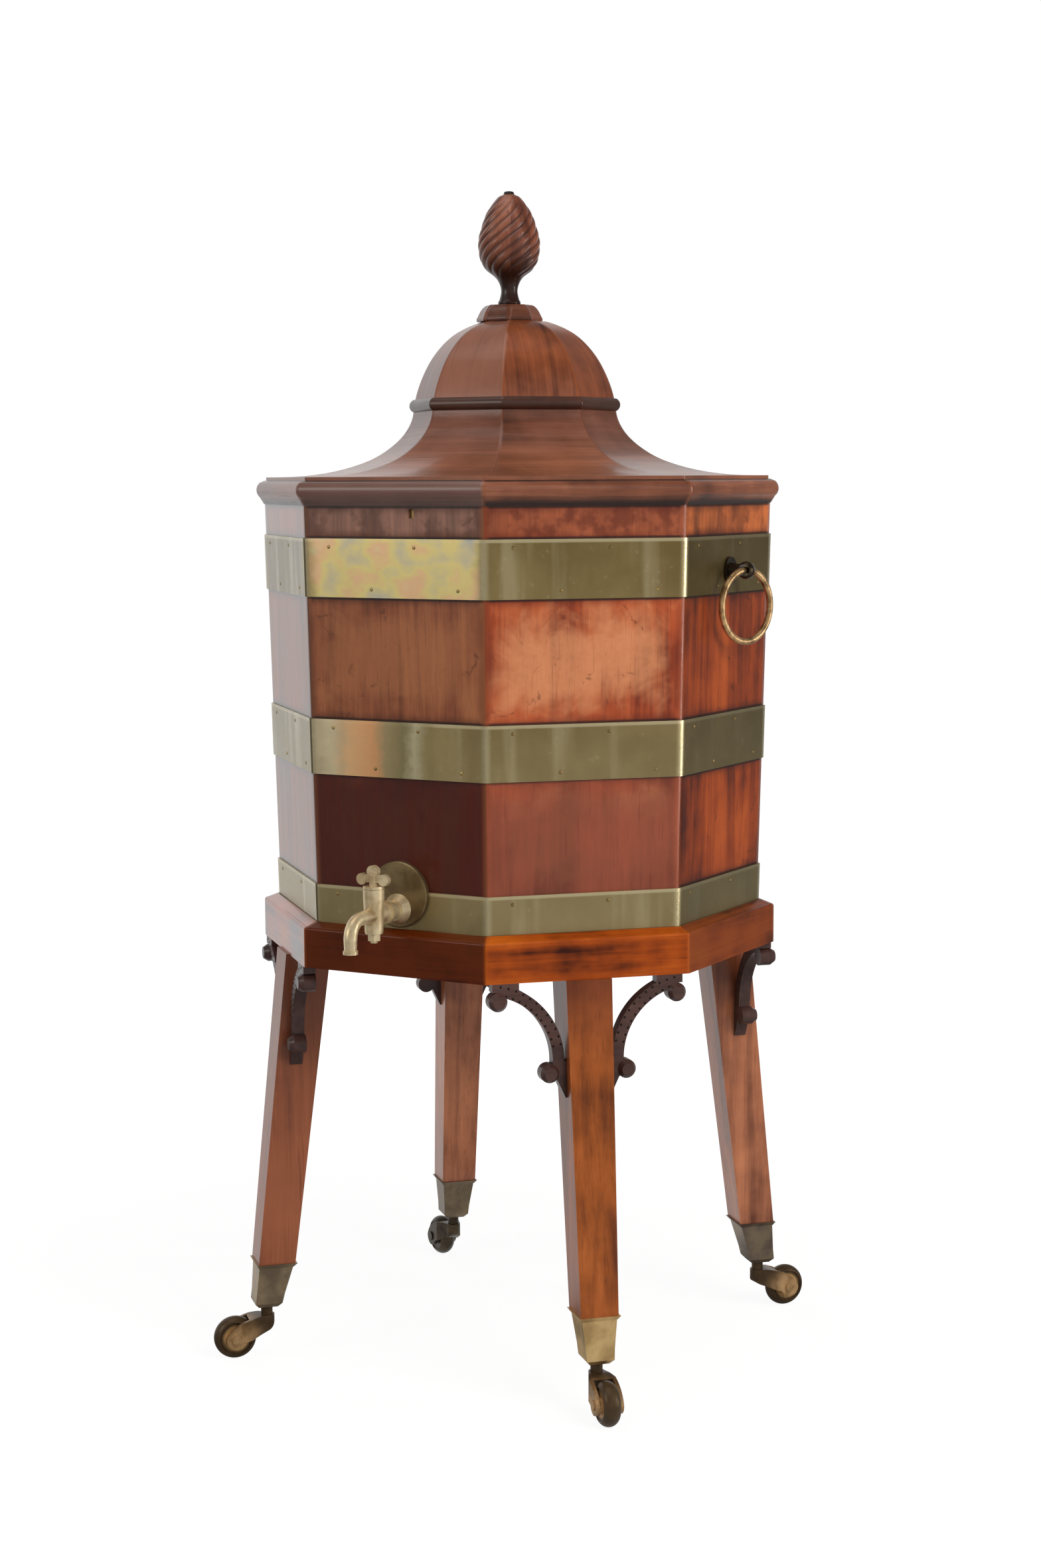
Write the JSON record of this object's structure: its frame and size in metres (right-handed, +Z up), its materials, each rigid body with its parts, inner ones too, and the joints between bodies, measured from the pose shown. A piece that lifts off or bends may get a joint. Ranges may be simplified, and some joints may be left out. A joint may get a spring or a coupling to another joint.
{
  "type": "cellarette",
  "caption": "Octagonal brass-bound wine cooler with a domed hinged lid, tap and ring handles, on a castered splay-legged stand.",
  "frame": {"origin": "on the floor, under the axis of the octagonal tub", "axes": "+Z up; -Y towards the tap side; +X towards a ring-handle side; the lid hinges at +Y; the legs stand on the diagonals"},
  "size_m": [0.4752, 0.5029, 1.032],
  "materials": {
    "mahogany_stand": "polished, worn arrises",
    "mahogany_panel": "polished, vertical grain",
    "mahogany_lid": "polished, darker",
    "band_brass": "aged, olive",
    "tap_brass": "worn, part bright",
    "handle_brass": "worn, part bright",
    "hinge_brass": "plain",
    "lock_steel": "filed",
    "liner_metal": "dull grey lining",
    "caster_bronze": "dark, aged",
    "wheel_brass": "worn bright on the tread"
  },
  "bodies": {
    "stand": {"apron_rails": "mahogany_stand", "leg_front_left": "mahogany_stand", "scrolls_front_left": "mahogany_stand", "caster_socket_front_left": "caster_bronze", "leg_front_right": "mahogany_stand", "scrolls_front_right": "mahogany_stand", "caster_socket_front_right": "caster_bronze", "leg_back_right": "mahogany_stand", "scrolls_back_right": "mahogany_stand", "caster_socket_back_right": "caster_bronze", "leg_back_left": "mahogany_stand", "scrolls_back_left": "mahogany_stand", "caster_socket_back_left": "caster_bronze"},
    "tub": {"panel_front": "mahogany_panel", "panel_back": "mahogany_panel", "panel_sides": "mahogany_panel", "panel_front_left": "mahogany_panel", "panel_front_right": "mahogany_panel", "panel_back_right": "mahogany_panel", "panel_back_left": "mahogany_panel", "tub_board": "mahogany_panel", "liner": "liner_metal", "band_bottom": "band_brass", "band_middle": "band_brass", "band_top": "band_brass", "tub_hinge_leaves": "hinge_brass", "hinge_pins": "hinge_brass", "lock_case": "hinge_brass", "tap_plate": "band_brass", "tap_shank": "tap_brass", "tap_housing": "tap_brass", "tap_spout": "tap_brass", "tap_back_nut": "tap_brass", "handle_posts": "handle_brass"},
    "lid": {"lid_board": "mahogany_lid", "lid_rim": "mahogany_lid", "lid_skirt": "mahogany_lid", "lid_bead": "mahogany_lid", "lid_dome": "mahogany_lid", "lid_cap": "mahogany_lid", "finial": "mahogany_lid", "lid_hinge_leaves": "hinge_brass", "link_plate": "hinge_brass"},
    "tap_plug": {"tap_plug": "tap_brass", "tap_plug_nut": "tap_brass"},
    "handle_ring_right": {"handle_ring_right": "handle_brass"},
    "handle_ring_left": {"handle_ring_left": "handle_brass"},
    "lock_bolt": {"lock_bolt": "lock_steel"},
    "caster_horn_front_left": {"caster_horn_front_left": "caster_bronze", "caster_axle_front_left": "caster_bronze"},
    "caster_wheel_front_left": {"caster_wheel_front_left": "wheel_brass"},
    "caster_horn_front_right": {"caster_horn_front_right": "caster_bronze", "caster_axle_front_right": "caster_bronze"},
    "caster_wheel_front_right": {"caster_wheel_front_right": "wheel_brass"},
    "caster_horn_back_right": {"caster_horn_back_right": "caster_bronze", "caster_axle_back_right": "caster_bronze"},
    "caster_wheel_back_right": {"caster_wheel_back_right": "wheel_brass"},
    "caster_horn_back_left": {"caster_horn_back_left": "caster_bronze", "caster_axle_back_left": "caster_bronze"},
    "caster_wheel_back_left": {"caster_wheel_back_left": "wheel_brass"}
  },
  "joints": [
    {"name": "tub_lift", "type": "slide", "parent": "stand", "child": "tub", "axis": [0, 0, 1], "range_m": [0, 0.1]},
    {"name": "lid_hinge", "type": "hinge", "parent": "tub", "child": "lid", "pos_m": [0, 0.213, 0.759], "axis": [-1, 0, 0], "range_deg": [0, 100]},
    {"name": "tap_turn", "type": "hinge", "parent": "tub", "child": "tap_plug", "pos_m": [0, -0.244, 0.423], "axis": [0, 0, 1], "range_deg": [0, 90]},
    {"name": "ring_swing_right", "type": "hinge", "parent": "tub", "child": "handle_ring_right", "pos_m": [0.22527, 0, 0.7025], "axis": [0, -1, 0], "range_deg": [0, 100]},
    {"name": "ring_swing_left", "type": "hinge", "parent": "tub", "child": "handle_ring_left", "pos_m": [-0.22527, 0, 0.7025], "axis": [0, 1, 0], "range_deg": [0, 100]},
    {"name": "lock_bolt_slide", "type": "slide", "parent": "tub", "child": "lock_bolt", "axis": [-1, 0, 0], "range_m": [0, 0.01]},
    {"name": "swivel_front_left", "type": "hinge", "parent": "stand", "child": "caster_horn_front_left", "pos_m": [-0.16617, -0.16617, 0.05], "axis": [0, 0, 1], "continuous": true},
    {"name": "wheel_spin_front_left", "type": "hinge", "parent": "caster_horn_front_left", "child": "caster_wheel_front_left", "pos_m": [-0.18703, -0.18632, 0.019], "axis": [0.6947, -0.7193, 0], "continuous": true},
    {"name": "swivel_front_right", "type": "hinge", "parent": "stand", "child": "caster_horn_front_right", "pos_m": [0.16617, -0.16617, 0.05], "axis": [0, 0, 1], "continuous": true},
    {"name": "wheel_spin_front_right", "type": "hinge", "parent": "caster_horn_front_right", "child": "caster_wheel_front_right", "pos_m": [0.18668, -0.18668, 0.019], "axis": [0.7071, 0.7071, 0], "continuous": true},
    {"name": "swivel_back_right", "type": "hinge", "parent": "stand", "child": "caster_horn_back_right", "pos_m": [0.16617, 0.16617, 0.05], "axis": [0, 0, 1], "continuous": true},
    {"name": "wheel_spin_back_right", "type": "hinge", "parent": "caster_horn_back_right", "child": "caster_wheel_back_right", "pos_m": [0.18322, 0.18963, 0.019], "axis": [-0.809, 0.5878, 0], "continuous": true},
    {"name": "swivel_back_left", "type": "hinge", "parent": "stand", "child": "caster_horn_back_left", "pos_m": [-0.16617, 0.16617, 0.05], "axis": [0, 0, 1], "continuous": true},
    {"name": "wheel_spin_back_left", "type": "hinge", "parent": "caster_horn_back_left", "child": "caster_wheel_back_left", "pos_m": [-0.18963, 0.18322, 0.019], "axis": [-0.5878, -0.809, 0], "continuous": true}
  ]
}
